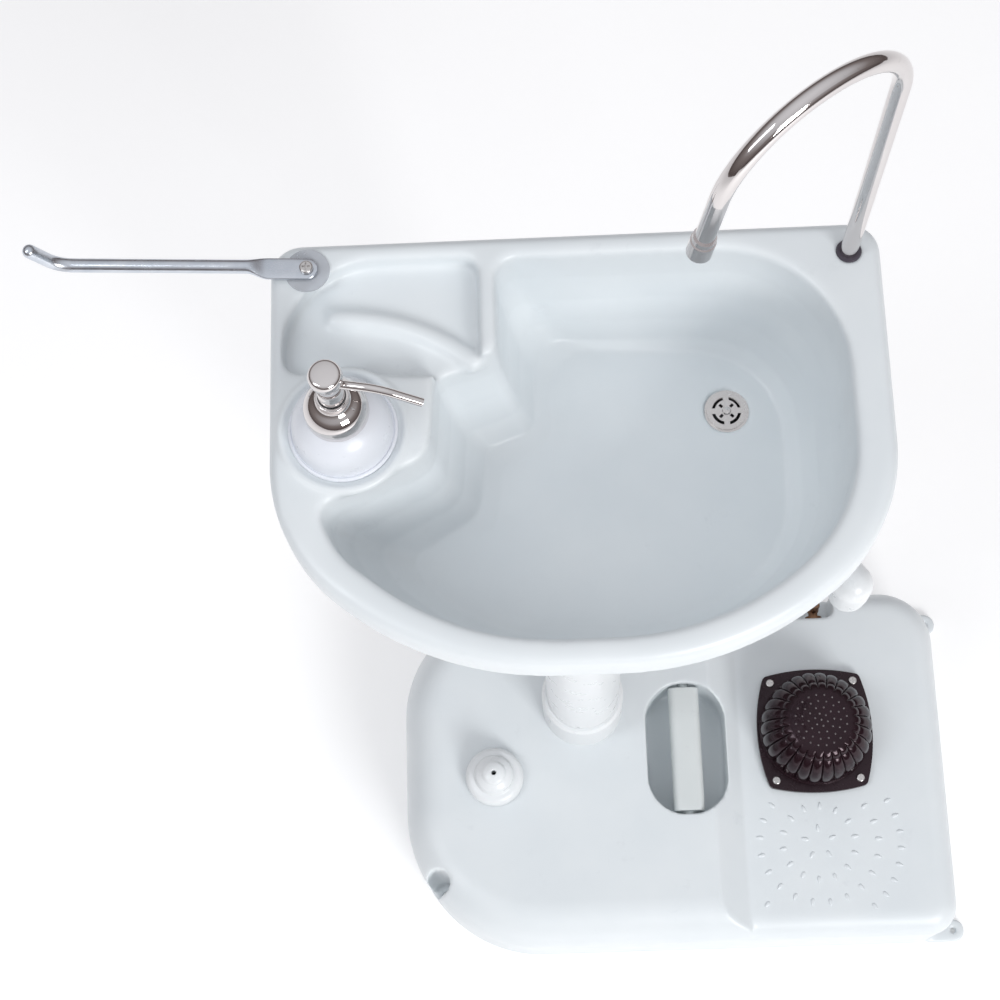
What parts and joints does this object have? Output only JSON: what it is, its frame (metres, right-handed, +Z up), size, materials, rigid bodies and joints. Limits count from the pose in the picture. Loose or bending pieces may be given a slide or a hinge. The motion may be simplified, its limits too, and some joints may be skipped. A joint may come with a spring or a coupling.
{
  "type": "portable handwash sink",
  "caption": "Free-standing portable handwash sink: flat water tank with foot pump, column, D-shaped basin with gooseneck faucet, soap pump dispenser and swinging towel bar.",
  "frame": {"origin": "on the floor, under the column's axis", "axes": "+Z up, +X to the user's right, +Y away from the user, towards the basin's straight back edge"},
  "size_m": [0.7597, 0.444, 1.0292],
  "materials": {
    "shell_plastic": "satin, cool white moulded plastic",
    "grip_plastic": "satin",
    "white_plastic": "semi-gloss",
    "bottle_plastic": "translucent white",
    "seal_rubber": "matt",
    "black_rubber": "slightly glossy black",
    "black_plastic": "satin black",
    "chrome": "polished",
    "steel": "stainless",
    "zinc_steel": "bluish zinc plate",
    "brass": "dull"
  },
  "bodies": {
    "stand": {"tank_body": "shell_plastic", "carry_grip": "grip_plastic", "pump_gasket": "seal_rubber", "pump_base_plate": "black_plastic", "pump_screws": "steel", "pump_bellows": "black_rubber", "pump_spring": "steel", "pump_valve_flaps": "seal_rubber", "suction_tube": "white_plastic", "suction_filter": "white_plastic", "delivery_tube": "white_plastic", "hose_tail": "brass", "column_collar": "white_plastic", "column_pipe": "white_plastic", "basin_shell": "shell_plastic", "drain_flange": "steel", "drain_strainer": "steel", "drain_screw": "steel", "drain_gasket": "seal_rubber", "drain_nut": "white_plastic", "waste_elbow": "white_plastic", "waste_pipe": "white_plastic", "waste_outlet": "white_plastic", "faucet_grommet": "seal_rubber", "faucet_clip": "white_plastic", "soap_bottle": "bottle_plastic", "soap_collar": "chrome", "soap_cylinder": "white_plastic", "soap_dip_tube": "white_plastic", "soap_spring": "steel", "towel_washer": "bottle_plastic", "towel_screw": "steel", "towel_nut": "steel"},
    "filler": {"filler_cap": "white_plastic"},
    "filler_seal": {"cap_seal": "seal_rubber"},
    "foot_pedal": {"pump_tread": "black_rubber", "pump_pressure_disc": "black_plastic"},
    "faucet": {"faucet_gooseneck": "chrome", "faucet_nozzle": "chrome", "aerator_screen": "steel"},
    "soap_plunger": {"soap_stem": "white_plastic"},
    "soap_head": {"soap_knob": "chrome", "soap_spout": "chrome"},
    "towel_arm": {"towel_bar": "zinc_steel"}
  },
  "joints": [
    {"name": "faucet_swivel", "type": "hinge", "parent": "stand", "child": "faucet", "pos_m": [0.193, 0.1985, 0.725], "axis": [0, 0, 1], "range_deg": [-100, 100]},
    {"name": "towel_swing", "type": "hinge", "parent": "stand", "child": "towel_arm", "pos_m": [-0.188, 0.2, 0.728], "axis": [0, 0, 1], "range_deg": [-170, 75]},
    {"name": "foot_press", "type": "slide", "parent": "stand", "child": "foot_pedal", "axis": [0, 0, -1], "range_m": [0, 0.032], "stiffness_N_per_m": 1500, "springref_m": -0.01, "deforming": ["pump_bellows", "pump_spring"]},
    {"name": "soap_press", "type": "slide", "parent": "stand", "child": "soap_plunger", "axis": [0, 0, -1], "range_m": [0, 0.014], "stiffness_N_per_m": 300, "springref_m": -0.006, "deforming": ["soap_spring"]},
    {"name": "soap_swivel", "type": "hinge", "parent": "soap_plunger", "child": "soap_head", "pos_m": [-0.163, 0.08, 0.8], "axis": [0, 0, 1], "continuous": true},
    {"name": "cap_lift", "type": "slide", "parent": "stand", "child": "filler_seal", "axis": [0, 0, 1], "range_m": [0, 0.006]},
    {"name": "cap_turn", "type": "hinge", "parent": "filler_seal", "child": "filler", "pos_m": [-0.086, -0.066, 0.15], "axis": [0, 0, 1], "range_deg": [0, 720]}
  ],
  "couplings": [
    {"joint": "cap_turn", "follows": "cap_lift", "rad_per_m": 2094}
  ]
}
